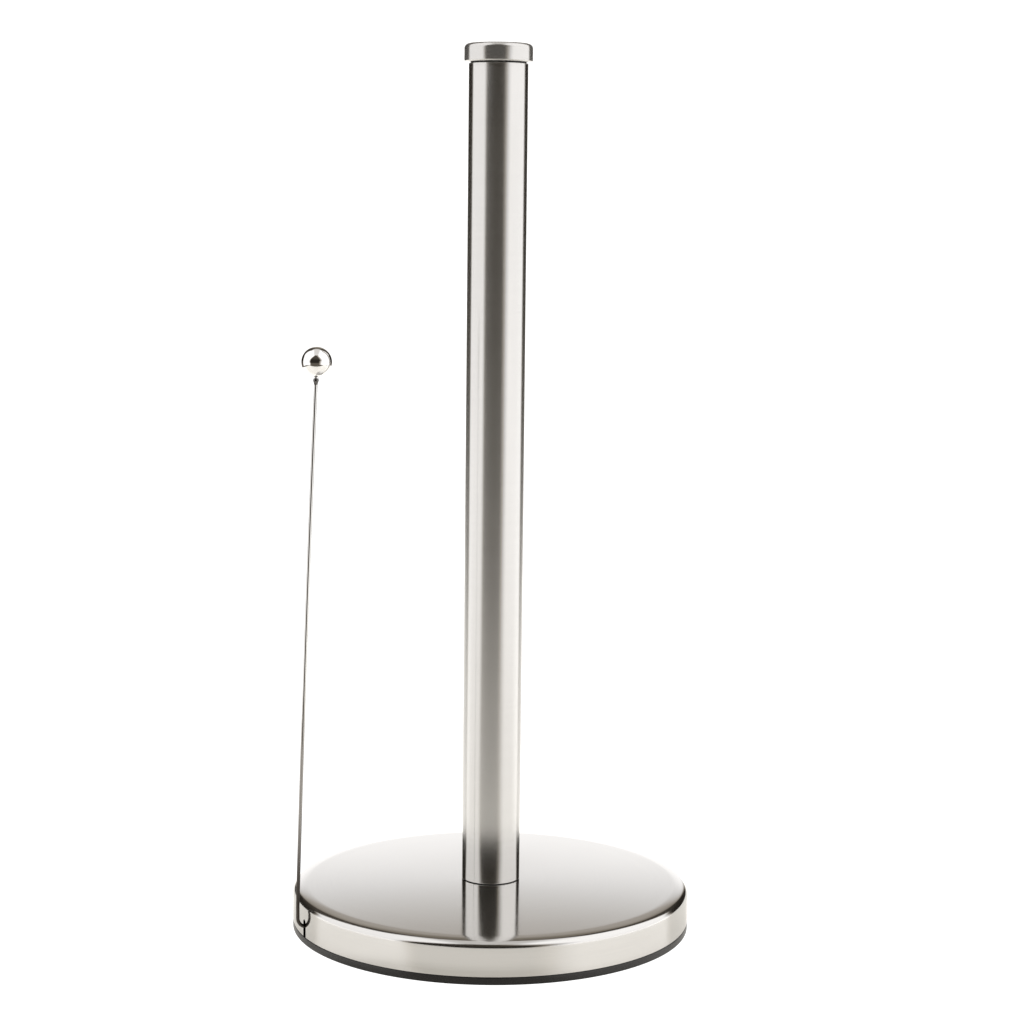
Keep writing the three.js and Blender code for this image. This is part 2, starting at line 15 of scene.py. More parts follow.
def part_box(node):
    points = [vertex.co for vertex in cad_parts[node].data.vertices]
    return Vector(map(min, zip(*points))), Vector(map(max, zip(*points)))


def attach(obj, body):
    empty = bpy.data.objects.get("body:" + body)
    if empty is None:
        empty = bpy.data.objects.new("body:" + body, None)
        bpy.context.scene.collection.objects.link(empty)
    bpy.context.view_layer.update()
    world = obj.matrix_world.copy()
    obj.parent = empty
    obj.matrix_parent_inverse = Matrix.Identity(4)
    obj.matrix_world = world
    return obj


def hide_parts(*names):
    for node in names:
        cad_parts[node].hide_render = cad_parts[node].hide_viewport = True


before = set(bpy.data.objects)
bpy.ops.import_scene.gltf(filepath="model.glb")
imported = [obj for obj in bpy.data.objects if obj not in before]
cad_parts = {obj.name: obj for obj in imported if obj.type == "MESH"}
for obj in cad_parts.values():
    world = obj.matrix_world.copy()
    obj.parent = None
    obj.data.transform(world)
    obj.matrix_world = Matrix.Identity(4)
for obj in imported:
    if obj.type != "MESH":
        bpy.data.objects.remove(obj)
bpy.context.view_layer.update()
scene = bpy.context.scene
MM = 0.001

# %% [markdown]
# ## Camera
#
# The stand is seen from a little above and about a metre away through a long lens, so the mast hardly
# tapers. The camera is turned by its own axes: where it looks, which way is right and which way is up.
# Writing the three axes into a matrix keeps the small roll that a hand-held camera has, which a
# track-to would lose.

# %% Place the camera
CAMERA_AT = Vector((0.0, -0.9929, 0.3075))
PITCH_DOWN = math.radians(7.366)
YAW_RIGHT = math.radians(0.435)
ROLL = math.radians(0.624)
LENS = 83.07


def look(pitch_down, yaw_right, roll):
    """A turn whose columns are the camera's right, its up and its back."""
    ahead = Vector((
        math.sin(yaw_right) * math.cos(pitch_down),
        math.cos(yaw_right) * math.cos(pitch_down),
        -math.sin(pitch_down),
    ))
    level = Vector((math.cos(yaw_right), -math.sin(yaw_right), 0.0))
    upright = level.cross(ahead)
    right = math.cos(roll) * level + math.sin(roll) * upright
    up = math.cos(roll) * upright - math.sin(roll) * level
    return Matrix((right, up, -ahead)).transposed()


lens = bpy.data.cameras.new("camera")
lens.lens = LENS
lens.sensor_width = 36.0
lens.dof.use_dof = False
camera = bpy.data.objects.new("camera", lens)
camera.matrix_world = Matrix.Translation(CAMERA_AT) @ look(PITCH_DOWN, YAW_RIGHT, ROLL).to_4x4()
scene.collection.objects.link(camera)
scene.camera = camera
print("camera is", round(CAMERA_AT.length, 3), "m from the foot of the mast")

# %% [markdown]
# ## Shader sums as Python sums
#
# Patterns such as brushing are sums of noises and distances. Wiring each Math node by hand hides the
# sum, so one small class wraps a socket and turns +, -, * and / into Math nodes. Every other node comes
# from `node`, which takes its type, its settings and what goes into its inputs.

# %% Wrap a socket
class Wire:
    """The output of one node, with arithmetic."""

    def __init__(self, tree, socket):
        self.tree = tree
        self.socket = socket

    def math(self, operation, *others):
        """A Math node whose first value is this one."""
        return node(self.tree, "ShaderNodeMath", dict(operation=operation), self, *others)

    def __add__(self, other):
        return self.math("ADD", other)

    __radd__ = __add__

    def __sub__(self, other):
        return self.math("SUBTRACT", other)

    def __rsub__(self, other):
        return (self * -1.0) + other

    def __mul__(self, other):
        return self.math("MULTIPLY", other)

    __rmul__ = __mul__

    def __truediv__(self, other):
        return self.math("DIVIDE", other)

    def __neg__(self):
        return self * -1.0

    def __abs__(self):
        return self.math("ABSOLUTE")

    def rise(self, low, high):
        """0 below low and 1 above high, with a smooth step between them."""
        settings = dict(interpolation_type="SMOOTHSTEP")
        return node(self.tree, "ShaderNodeMapRange", settings, self, low, high, 0.0, 1.0)


def node(tree, kind, settings=None, *values, out=0, **named):
    """Adds a node, sets it up, fills its inputs in order or by name, and returns one output."""
    made = tree.nodes.new(kind)
    for key, value in (settings or {}).items():
        setattr(made, key, value)
    pairs = list(zip(made.inputs, values)) + [(made.inputs[key], value) for key, value in named.items()]
    for socket, value in pairs:
        if isinstance(value, Wire):
            tree.links.new(value.socket, socket)
        elif value is not None:
            socket.default_value = value
    return Wire(tree, made.outputs[out])


def blend_colors(tree, share, first, second):
    """One colour where share is 0 and the other where it is 1."""
    made = tree.nodes.new("ShaderNodeMix")
    made.data_type = "RGBA"
    for socket, value in ((made.inputs[0], share), (made.inputs[6], first), (made.inputs[7], second)):
        if isinstance(value, Wire):
            tree.links.new(value.socket, socket)
        else:
            socket.default_value = value
    return Wire(tree, made.outputs[2])


def split(tree, vector):
    """The X, Y and Z of a vector."""
    made = tree.nodes.new("ShaderNodeSeparateXYZ")
    tree.links.new(vector.socket, made.inputs[0])
    return [Wire(tree, made.outputs[i]) for i in range(3)]


def join_xyz(tree, x, y, z):
    return node(tree, "ShaderNodeCombineXYZ", None, x, y, z)


print("shader sums are ready")

# %% [markdown]
# ## The studio
#
# Polished steel has hardly any colour of its own: it shows the room. This room is what a product table
# has round it. Two tall white diffusers stand to the left and the right, one lies overhead, and a pale
# sweep rises behind. The diffusers lean together, so the gap between them, in front of the stand,
# closes upwards in a curve. The gaps are dark and a little warm, and less dark below the horizon and
# high up. Overhead, where the diffusers meet, a softer seam is left. The world's colour is worked out
# from the direction alone: its bearing round the stand, counted from the front, and its height, both in
# degrees. The view behind the stand stays plain white.

# %% Work out the lights from a direction
BOX_LEFT, BOX_RIGHT = 50.0, 34.0
BOX_SOFT_LEFT, BOX_SOFT_RIGHT = 7.0, 17.0
BOX_END_LEFT, BOX_END_RIGHT = (111.0, 121.0), (117.0, 128.0)
BOX_LIGHT_LEFT, BOX_LIGHT_RIGHT = 1.20, 1.33
BOX_FOOT, BOX_TOP = -17.0, 62.0
GAP_UPRIGHT, GAP_CLOSES = 5.0, 62.0
GAP_STEP_LEFT, GAP_STEP_RIGHT = 4.0, 8.0
LONGER_ABOVE = 10.0


def diffusers(bearing, height):
    """The two lights beside the stand, which both reach further round to the back higher up."""
    above = (height - GAP_UPRIGHT).math("MAXIMUM", 0.0) / (GAP_CLOSES - GAP_UPRIGHT)
    gap = (1.0 - above * above).math("MAXIMUM", 0.0)
    gap_left = gap * (BOX_LEFT - GAP_STEP_LEFT + height.rise(-6.0, 1.0) * GAP_STEP_LEFT)
    gap_right = gap * (BOX_RIGHT + height.rise(4.0, 14.0) * GAP_STEP_RIGHT)
    left = (-bearing - gap_left).rise(-BOX_SOFT_LEFT, BOX_SOFT_LEFT)
    right = (bearing - gap_right).rise(-BOX_SOFT_RIGHT, BOX_SOFT_RIGHT)
    tall = height.rise(BOX_FOOT - 2.0, BOX_FOOT + 1.0) * (1.0 - height.rise(BOX_TOP, BOX_TOP + 18.0))
    longer = height.rise(13.0, 26.0) * LONGER_ABOVE
    left_end = 1.0 - (-bearing - longer).rise(*BOX_END_LEFT)
    right_end = 1.0 - (bearing - longer).rise(*BOX_END_RIGHT)
    return (left * left_end * BOX_LIGHT_LEFT + right * right_end * BOX_LIGHT_RIGHT) * tall


def overhead_light(side, height):
    """The light above, which begins a little higher towards the back."""
    brightness, begins, tilt = 1.15, 50.0, 0.06
    return (height - side * tilt).rise(begins, begins + 6.0) * brightness


def sweep_light(side, height):
    """The pale sweep behind, bright at its foot and dimmer upwards in two steps."""
    bright, dim, drop, second_drop = 1.30, 0.40, 1.08, 0.62
    fall = (bright - height.rise(10.0, 27.5) * drop).math("MAXIMUM", dim)
    return side.rise(158.0, 169.0) * fall * (1.0 - height.rise(32.0, 42.0) * second_drop)


print("diffusers from", BOX_LEFT, "degrees to the left and", BOX_RIGHT, "to the right, round to the back")

# %% Write the studio into the world
ROOM_LIGHT, ROOM_LIGHT_LOW, ROOM_LIGHT_HIGH = 0.024, 0.090, 0.045
WARM_DARK, CLEAN_LIGHT = (1.0, 0.87, 0.71, 1.0), (0.99, 0.978, 0.977, 1.0)
WHITE, WHITE_STRENGTH = (1.0, 1.0, 1.0, 1.0), 1.25
SEAM_SHADE = 0.42


def studio_world():
    world = bpy.data.worlds.new("studio")
    world.use_nodes = True
    tree = world.node_tree
    tree.nodes.clear()
    x, y, z = split(tree, node(tree, "ShaderNodeTexCoord", None))
    flat = (x * x + y * y).math("SQRT")
    bearing = x.math("ARCTAN2", -y) * (180.0 / math.pi)
    height = z.math("ARCTAN2", flat) * (180.0 / math.pi)
    side = abs(bearing)

    boxes = diffusers(bearing, height)
    overhead = overhead_light(side, height)
    sweep = sweep_light(side, height)
    seam = (1.0 - abs(x).rise(0.16, 0.36)) * height.rise(44.0, 52.0)
    brightest = boxes.math("MAXIMUM", overhead).math("MAXIMUM", sweep)
    lit = brightest * (1.0 - seam * SEAM_SHADE)

    low_room = ROOM_LIGHT_LOW * (1.0 - height.rise(-9.0, 0.0))
    room = low_room + ROOM_LIGHT_HIGH * height.rise(14.0, 36.0) + ROOM_LIGHT
    warm = blend_colors(tree, lit.rise(0.0, 0.9), WARM_DARK, CLEAN_LIGHT)
    studio = node(tree, "ShaderNodeBackground", None, warm, lit + room)
    white = node(tree, "ShaderNodeBackground", None, WHITE, WHITE_STRENGTH)
    seen = node(tree, "ShaderNodeLightPath", None)
    mixed = node(tree, "ShaderNodeMixShader", None, seen, studio, white)
    end = tree.nodes.new("ShaderNodeOutputWorld")
    tree.links.new(mixed.socket, end.inputs[0])
    scene.world = world


studio_world()
scene.view_settings.view_transform = "Standard"
scene.view_settings.look = "None"
print("world is", scene.world.name, "with", len(scene.world.node_tree.nodes), "nodes")

# %% [markdown]
# ## The floor
#
# The floor is plain and white, and reaches so far that no edge shows from any side. What it does for
# the steel matters more than how it looks itself: the skirt of the base and the lower half of the ball
# show nothing else. The steel sees a table top with a slight gloss. It glows softly, more at the back
# than in front, where it is also warmer, and less right under the front of the skirt, which keeps the
# light off it. The table ends 0.44 m in front of the mast, and beyond it lies the dark room. That edge
# is what draws the thin dark lines round the shoulder and across the ball.

# %% Lay the floor
FLOOR_RADIUS = 3.0
TABLE_HALF_WIDTH, TABLE_FRONT, TABLE_BACK = 0.64, 0.44, 1.15
SIDE_SOFT, FRONT_SOFT, BACK_SOFT = 0.02, 0.01, 0.1
TABLE_PAINT, TABLE_PAINT_UNDER = (0.72, 0.71, 0.68, 1.0), (0.62, 0.605, 0.57, 1.0)
GLOW_FRONT = (0.40, 0.386, 0.358, 1.0)
GLOW_BACK = (0.75, 0.739, 0.712, 1.0)
GLOW_UNDER = (0.25, 0.24, 0.215, 1.0)


def under_the_skirt(x, y):
    """1 in the patch of shade in front of the base, and 0 everywhere else."""
    close = 1.0 - (x * x + y * y).math("SQRT").rise(0.095, 0.116)
    in_front = 1.0 - y.rise(-0.07, -0.03)
    return close * in_front * x.rise(-0.08, -0.05) * (1.0 - x.rise(0.02, 0.055))


def floor_paint():
    paint = bpy.data.materials.new("floor paint")
    paint.use_nodes = True
    tree = paint.node_tree
    tree.nodes.clear()
    x, y, _ = split(tree, node(tree, "ShaderNodeTexCoord", None, out=3))
    across = 1.0 - abs(x).rise(TABLE_HALF_WIDTH - SIDE_SOFT, TABLE_HALF_WIDTH + SIDE_SOFT)
    behind_front = y.rise(-TABLE_FRONT - FRONT_SOFT, -TABLE_FRONT + FRONT_SOFT)
    along = behind_front * (1.0 - y.rise(TABLE_BACK - BACK_SOFT, TABLE_BACK + BACK_SOFT))
    shaded = under_the_skirt(x, y)
    glow = blend_colors(tree, y.rise(-0.06, 0.16), GLOW_FRONT, GLOW_BACK)
    gloss = {
        "Base Color": blend_colors(tree, shaded, TABLE_PAINT, TABLE_PAINT_UNDER),
        "Roughness": 0.10,
        "IOR": 1.6,
        "Emission Color": blend_colors(tree, shaded, glow, GLOW_UNDER),
        "Emission Strength": 1.0,
    }
    top = node(tree, "ShaderNodeBsdfPrincipled", None, **gloss)
    clear = node(tree, "ShaderNodeBsdfTransparent", None)
    table = node(tree, "ShaderNodeMixShader", None, across * along, clear, top)
    plain = node(tree, "ShaderNodeEmission", None, WHITE, WHITE_STRENGTH)
    seen = node(tree, "ShaderNodeLightPath", None)
    both = node(tree, "ShaderNodeMixShader", None, seen, table, plain)
    end = tree.nodes.new("ShaderNodeOutputMaterial")
    tree.links.new(both.socket, end.inputs[0])
    return paint


def floor():
    mesh = bpy.data.meshes.new("floor")
    sides = 96
    turns = [2 * math.pi * i / sides for i in range(sides)]
    rim = [(FLOOR_RADIUS * math.cos(turn), FLOOR_RADIUS * math.sin(turn), 0.0) for turn in turns]
    mesh.from_pydata(rim, [], [tuple(range(sides))])
    mesh.materials.append(floor_paint())
    made = bpy.data.objects.new("floor", mesh)
    scene.collection.objects.link(made)


floor()
print("floor of", FLOOR_RADIUS, "m radius")

# %% [markdown]
# ## Steel brushed round and round
#
# The tube, the cover and the cap are finished on a spindle, with the belt or the cloth standing still.
# The scratches therefore run round the mast's axis: tight and regular, a few tenths of a millimetre
# wide and many times longer. Across them a reflection smears, along them it stays sharp, and that is
# anisotropy. The scratches themselves are a noise stretched round the axis. Its third coordinate runs
# along the profile, up a wall and out over a top, so one sum serves the tube, the crown and the skirt.
# The mast is rougher than the cover, though less so near its foot, and the cap is a little less like a
# mirror than bare metal.

# %% Make the brushed steel
def surface(name):
    """A material with one Principled shader, its tree, and that shader's inputs."""
    made = bpy.data.materials.new(name)
    made.use_nodes = True
    tree = made.node_tree
    shader = next(n for n in tree.nodes if n.type == "BSDF_PRINCIPLED")
    return made, tree, shader


def feed(tree, wire, socket):
    tree.links.new(wire.socket, socket)


def noise(tree, vector, scale, detail=2.0, roughness=0.5):
    inputs = dict(Vector=vector, Scale=scale, Detail=detail, Roughness=roughness)
    return node(tree, "ShaderNodeTexNoise", dict(noise_dimensions="3D"), **inputs)


def round_scratches(tree, across, along):
    """Noise with `across` scratches to the metre over the profile and `along` to the metre round it."""
    where = node(tree, "ShaderNodeTexCoord", None, out=3)
    x, y, z = split(tree, where)
    radius = (x * x + y * y).math("SQRT")
    stretched = join_xyz(tree, x * along, y * along, (radius - z) * across)
    return noise(tree, stretched, 1.0, detail=3.0, roughness=0.6), where


FINE_SCRATCHES, COARSE_SCRATCHES = (5200.0, 55.0), (900.0, 24.0)
FINE_SHARE = 0.65
GRAIN_ROUGHNESS, CLOUD_ROUGHNESS = 0.06, 0.03
DULL, CLEAN = 0.90, 1.04


def brushed_steel(name, tint, roughness, anisotropy, scratch_depth, bare=1.0, foot=0.0):
    """Steel brushed round the axis: `bare` is how metallic it is, `foot` how much smoother low down."""
    made, tree, shader = surface(name)
    fine, where = round_scratches(tree, *FINE_SCRATCHES)
    low = 1.0 - split(tree, where)[2].rise(0.020, 0.085)
    coarse, _ = round_scratches(tree, *COARSE_SCRATCHES)
    cloudy = noise(tree, where, 26.0)
    grain = fine * FINE_SHARE + coarse * (1.0 - FINE_SHARE)
    uneven = (grain - 0.5) * GRAIN_ROUGHNESS
    rough = roughness - low * foot + uneven + (cloudy - 0.5) * CLOUD_ROUGHNESS
    feed(tree, rough, shader.inputs["Roughness"])
    dull = [c * DULL for c in tint] + [1.0]
    clean = [min(1.0, c * CLEAN) for c in tint] + [1.0]
    feed(tree, blend_colors(tree, grain, dull, clean), shader.inputs["Base Color"])
    relief = node(tree, "ShaderNodeBump", None, Strength=scratch_depth, Distance=0.00002, Height=grain)
    feed(tree, relief, shader.inputs["Normal"])
    shader.inputs["Metallic"].default_value = bare
    shader.inputs["Anisotropic"].default_value = anisotropy
    shader.inputs["Anisotropic Rotation"].default_value = 0.25
    return made


STEEL_TINT = (0.70, 0.69, 0.672)
mast_steel = brushed_steel("mast steel", STEEL_TINT, 0.25, 0.95, 0.06, foot=0.10)
cover_steel = brushed_steel("cover steel", STEEL_TINT, 0.12, 0.65, 0.12)
cap_steel = brushed_steel("cap steel", STEEL_TINT, 0.20, 0.70, 0.12, bare=0.84)
print("brushed steels:", mast_steel.name, cover_steel.name, cap_steel.name)

# %% [markdown]
# ## Polished wire, black plate and the plain finishes inside
#
# The wire and the ball are plated and buffed: nearly a mirror, with the faintest haze. The ball is the
# brightest. The wire is greyer and its brazed neck is dark. Towards its foot it is painted darker and
# brown-grey in two steps, painted shade for the dark it shows low down by the base. The black plate is
# moulded and has an even, fine texture. Inside, where nobody looks until the pad comes off, are zinc
# plate, oiled spring steel, rough iron and rubber.

# %% Make the polished chrome
BALL_TONES = (0.91, 0.905, 0.89, 1.0), (0.95, 0.945, 0.935, 1.0)
WIRE_TOP = 0.2372, 0.2376
# The wire's own greyer tone, then two darker, browner tones towards its foot, which are painted shade.
WIRE_TONE_AND_PAINTED_SHADE = [
    (WIRE_TOP, (0.68, 0.67, 0.65, 1.0)),
    ((0.078, 0.118), (0.35, 0.335, 0.32, 1.0)),
    ((0.022, 0.062), (0.070, 0.062, 0.055, 1.0)),
]
NECK_LOW, NECK_TONE = (0.2345, 0.2350), (0.14, 0.135, 0.13, 1.0)


def polished_chrome():
    """Plating whose tone changes with height; each tone holds below a pair of heights in metres."""
    made, tree, shader = surface("polished chrome")
    where = node(tree, "ShaderNodeTexCoord", None, out=3)
    haze = noise(tree, where, 160.0, detail=3.0)
    feed(tree, haze * 0.03 + 0.02, shader.inputs["Roughness"])
    _, _, height = split(tree, where)
    color = blend_colors(tree, haze, *BALL_TONES)
    # Below each pair of heights the colour turns to that tone; the two lowest paint shade on the wire's
    # foot.
    for heights, tone in WIRE_TONE_AND_PAINTED_SHADE:
        color = blend_colors(tree, 1.0 - height.rise(*heights), color, tone)
    neck = height.rise(*NECK_LOW) * (1.0 - height.rise(*WIRE_TOP))
    color = blend_colors(tree, neck, color, NECK_TONE)
    feed(tree, color, shader.inputs["Base Color"])
    relief = node(tree, "ShaderNodeBump", None, Strength=0.015, Distance=0.00002, Height=haze)
    feed(tree, relief, shader.inputs["Normal"])
    shader.inputs["Metallic"].default_value = 1.0
    return made


chrome = polished_chrome()
print("polished finish:", chrome.name)

# %% Make the finishes with an even grain
def grained(name, dark, light, roughness, scale, depth, metallic=0.0):
    """A surface with one even grain: moulded plastic, rubber, cast iron or plating."""
    made, tree, shader = surface(name)
    where = node(tree, "ShaderNodeTexCoord", None, out=3)
    grain = noise(tree, where, scale, detail=4.0, roughness=0.65)
    wide = noise(tree, where, scale / 40.0)
    mottle = grain * 0.6 + wide * 0.4
    feed(tree, blend_colors(tree, mottle, (*dark, 1.0), (*light, 1.0)), shader.inputs["Base Color"])
    feed(tree, roughness + (grain - 0.5) * 0.2, shader.inputs["Roughness"])
    relief = node(tree, "ShaderNodeBump", None, Strength=depth, Distance=0.0001, Height=grain)
    feed(tree, relief, shader.inputs["Normal"])
    shader.inputs["Metallic"].default_value = metallic
    return made


PLASTIC_DARK, PLASTIC_LIGHT = (0.006, 0.0052, 0.0048), (0.011, 0.0100, 0.0092)
black_plastic = grained("black plastic", PLASTIC_DARK, PLASTIC_LIGHT, 0.26, 2600.0, 0.05)
foot_rubber = grained("foot rubber", [0.012] * 3, [0.024] * 3, 0.75, 1800.0, 0.35)
black_nylon = grained("black nylon", [0.012] * 3, [0.020] * 3, 0.55, 2000.0, 0.10)
rough_iron = grained("rough iron", (0.030, 0.029, 0.028), (0.085, 0.080, 0.075), 0.70, 700.0, 0.60, 0.5)
zinc = grained("zinc plate", (0.50, 0.51, 0.52), (0.66, 0.67, 0.66), 0.34, 900.0, 0.08, 1.0)
spring_steel = grained("spring steel", (0.20, 0.19, 0.18), (0.36, 0.35, 0.34), 0.30, 1500.0, 0.06, 1.0)
print("finishes:", [m.name for m in bpy.data.materials if m.name != "floor paint"])

# %% [markdown]
# ## Turning and cutting
#
# Most of the holder is round, so most pieces start as an outline of radius and height, spun round the
# mast's axis. The outlines are written in millimetres and run anticlockwise, with the radius to the
# right, which leaves every face pointing out. A place where the outline turns sharply stays a crisp
# edge, and the rest is shaded smooth. Slots and holes are cut afterwards with a Boolean, whose result
# is kept as a plain mesh.

# %% Helpers for turned and cut pieces
CRISP = math.radians(35)
ARM_TURN = Matrix.Rotation(math.radians(204), 4, "Z")


def sharpen(mesh):
    """Shades a mesh smooth, except along edges that turn by more than CRISP."""
    shape = bmesh.new()
    shape.from_mesh(mesh)
    for face in shape.faces:
        face.smooth = True
    for edge in shape.edges:
        edge.smooth = len(edge.link_faces) == 2 and edge.calc_face_angle() < CRISP
    shape.to_mesh(mesh)
    shape.free()


def piece_of(name, mesh, material=None):
    """A named object for a mesh, shown in the scene."""
    mesh.name = name
    made = bpy.data.objects.new(name, mesh)
    scene.collection.objects.link(made)
    if material:
        mesh.materials.clear()
        mesh.materials.append(material)
    return made


def turned(name, outline, material, sides=256):
    """A closed outline of (radius, height) in millimetres, spun round Z."""
    shape = bmesh.new()
    rings = []
    for radius, height in outline:
        count = sides if radius > 1e-6 else 1
        angles = [2 * math.pi * i / count for i in range(count)]
        corners = [(radius * MM * math.cos(a), radius * MM * math.sin(a), height * MM) for a in angles]
        rings.append([shape.verts.new(corner) for corner in corners])
    for low, high in zip(rings, rings[1:] + rings[:1]):
        if len(low) == len(high) == 1:
            continue
        for i in range(sides):
            j = (i + 1) % sides
            around = [low[i % len(low)], low[j % len(low)], high[j % len(high)], high[i % len(high)]]
            shape.faces.new(list(dict.fromkeys(around)))
    mesh = bpy.data.meshes.new(name)
    shape.to_mesh(mesh)
    shape.free()
    sharpen(mesh)
    return piece_of(name, mesh, material)


def arc(centre_r, centre_z, radius, start, end, steps):
    """Points on an arc in the outline's plane, from one angle to another in degrees."""
    angles = [math.radians(start + (end - start) * i / steps) for i in range(steps + 1)]
    return [(centre_r + radius * math.cos(a), centre_z + radius * math.sin(a)) for a in angles]


def place(piece, matrix):
    """Moves a piece by changing its mesh, so that its object stays at the origin."""
    piece.data.transform(matrix)
    return piece


def at_mm(x, y, z):
    return Matrix.Translation((x * MM, y * MM, z * MM))


def block(name, length, width, height, matrix):
    """A plain rectangular tool in millimetres, set where a matrix says."""
    shape = bmesh.new()
    bmesh.ops.create_cube(shape, size=MM, matrix=Matrix.Diagonal((length, width, height, 1.0)))
    mesh = bpy.data.meshes.new(name)
    shape.to_mesh(mesh)
    shape.free()
    mesh.transform(matrix)
    return piece_of(name, mesh)


def kept(piece):
    """Puts the evaluated mesh in place of the piece's own and takes its modifiers off."""
    graph = bpy.context.evaluated_depsgraph_get()
    mesh = bpy.data.meshes.new_from_object(piece.evaluated_get(graph), depsgraph=graph)
    piece.modifiers.clear()
    piece.data = mesh
    mesh.name = piece.name
    return piece


def carve(piece, operation, *tools):
    """Cuts the tools out of a piece, or joins them to it, and removes them."""
    for tool in tools:
        step = piece.modifiers.new("cut", "BOOLEAN")
        step.operation = operation
        step.solver = "EXACT"
        step.object = tool
    kept(piece)
    for tool in tools:
        bpy.data.objects.remove(tool)
    sharpen(piece.data)
    return piece


def finished(piece, body, slot_name, *nodes):
    """Ties a piece to the body it moves with and hides the solids it stands for; slot_name is not used.
    """
    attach(piece, body)
    if nodes:
        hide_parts(*nodes)
    size = [round(d / MM, 1) for d in piece.dimensions]
    print(piece.name, "faces", len(piece.data.polygons), "size mm", size)
    return piece


# %% [markdown]
# ## The steel cover of the base
#
# The base wears a dish of thin steel, pressed with a nearly flat crown, a tight shoulder and a straight
# skirt. A lathe outline describes it best. The crown is part of a very large sphere, about 1.5 mm high
# over the whole width, so it acts as a slightly bulging mirror. A wider rounding leads from it into the
# shoulder, and each rounding's middle lies on the line along which it meets the next, so the metal
# bends without a kink. The thin bright and dark lines all come from this edge, so it gets many steps.
# The lower edge is dressed, not sharp, and catches its own line of light.

# %% Turn the cover
BASE_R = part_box("base_cover")[1].x / MM
SKIRT_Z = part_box("base_cover")[0].z / MM
SEAT_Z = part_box("base_cover")[1].z / MM
SHEET = 0.8
SEAT_R, BOLT_HOLE_R = 13.0, 4.5
EDGE_R = 0.22
print("cover radius", round(BASE_R, 2), "from", round(SKIRT_Z, 2), "to", round(SEAT_Z, 2), "mm")

SHOULDER_R, SHOULDER_Z, SHOULDER_TO = 3.0, 14.97, 75.0
BLEND_R, CROWN_TILT = 20.0, 2.2
SHOULDER_X = BASE_R - SHOULDER_R
BLEND_X = SHOULDER_X - (BLEND_R - SHOULDER_R) * math.cos(math.radians(SHOULDER_TO))
BLEND_Z = SHOULDER_Z - (BLEND_R - SHOULDER_R) * math.sin(math.radians(SHOULDER_TO))
CROWN_R = BLEND_R + BLEND_X / math.sin(math.radians(CROWN_TILT))
CROWN_CENTRE = BLEND_Z - BLEND_X / math.tan(math.radians(CROWN_TILT))
CROWN_EDGE_R = BLEND_X + BLEND_R * math.sin(math.radians(CROWN_TILT))


def crown(start, end, depth, steps):
    """Points on the crown, or a depth below it, from one radius to another."""
    radii = [start + (end - start) * i / steps for i in range(steps + 1)]
    return [(r, CROWN_CENTRE + math.sqrt((CROWN_R - depth)**2 - r * r)) for r in radii]


def cover_line(depth, fineness):
    """The cover's line from the top of the skirt to the seat, a depth under its outer face."""
    return [
        *arc(SHOULDER_X, SHOULDER_Z, SHOULDER_R - depth, 0, SHOULDER_TO, 7 * fineness),
        *arc(BLEND_X, BLEND_Z, BLEND_R - depth, SHOULDER_TO + 1, 90 - CROWN_TILT, 5 * fineness),
        *crown(CROWN_EDGE_R - 1.5, SEAT_R, depth, 10 * fineness),
    ]


def slot_tool():
    """A round-topped bar that cuts the arm's slot through the skirt."""
    half, top, reach = 1.45, 11.0, 3.0
    outline = [(-half, 0.0), (half, 0.0)] + arc(0.0, top - half, half, 0, 180, 16)
    count = len(outline)
    near, far = [[(x * MM, y * MM, z * MM) for y, z in outline] for x in (BASE_R - reach, BASE_R + reach)]
    sides = [(i, count + i, count + (i + 1) % count, (i + 1) % count) for i in range(count)]
    ends = [tuple(range(count)), tuple(range(2 * count - 1, count - 1, -1))]
    mesh = bpy.data.meshes.new("slot tool")
    mesh.from_pydata(near + far, [], sides + ends)
    shape = bmesh.new()
    shape.from_mesh(mesh)
    bmesh.ops.recalc_face_normals(shape, faces=shape.faces)
    shape.to_mesh(mesh)
    shape.free()
    mesh.transform(ARM_TURN)
    return piece_of("slot tool", mesh)


def cover():
    inner = BASE_R - SHEET
    outline = [
        *arc(inner + EDGE_R, SKIRT_Z + EDGE_R, EDGE_R, 180, 270, 4),
        *arc(BASE_R - EDGE_R, SKIRT_Z + EDGE_R, EDGE_R, 270, 360, 6),
        *[(BASE_R, SKIRT_Z + EDGE_R + (SHOULDER_Z - SKIRT_Z - EDGE_R) * i / 4) for i in range(1, 4)],
        *cover_line(0, 2),
        (BOLT_HOLE_R, SEAT_Z),
        (BOLT_HOLE_R, SEAT_Z - SHEET),
        *reversed(cover_line(SHEET, 1)),
    ]
    return carve(turned("base_cover_steel", outline, cover_steel, 384), "DIFFERENCE", slot_tool())


finished(cover(), "stand", "brushed_stainless", "base_cover")

# %% [markdown]
# ## The mast and its cap
#
# The mast is a length of thin tube, cut square and dressed at both ends. Its foot stands on the crown
# with a hairline of shadow under it. The cap is turned from the bar: a straight side, a small bevel
# below and a larger rounding above, with a shallow turned face and a centre mark on its top. A nylon
# bush holds it a touch above the tube, and its flange is the dark line between the two.

# %% Turn the mast, the cap and the bush
MAST_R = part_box("mast_tube")[1].x / MM
MAST_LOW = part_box("mast_tube")[0].z / MM
MAST_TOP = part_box("mast_tube")[1].z / MM
BORE_R, DRESSED_R = MAST_R - 0.8, 0.2
CAP_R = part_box("top_cap")[1].x / MM
CAP_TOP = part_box("top_cap")[1].z / MM
CAP_LOW, STUD_R, STUD_LOW = 366.6, 3.0, 354.0
BUSH_HOLE_R, BUSH_LOW, BUSH_TOP = 3.3, 352.0, 366.5


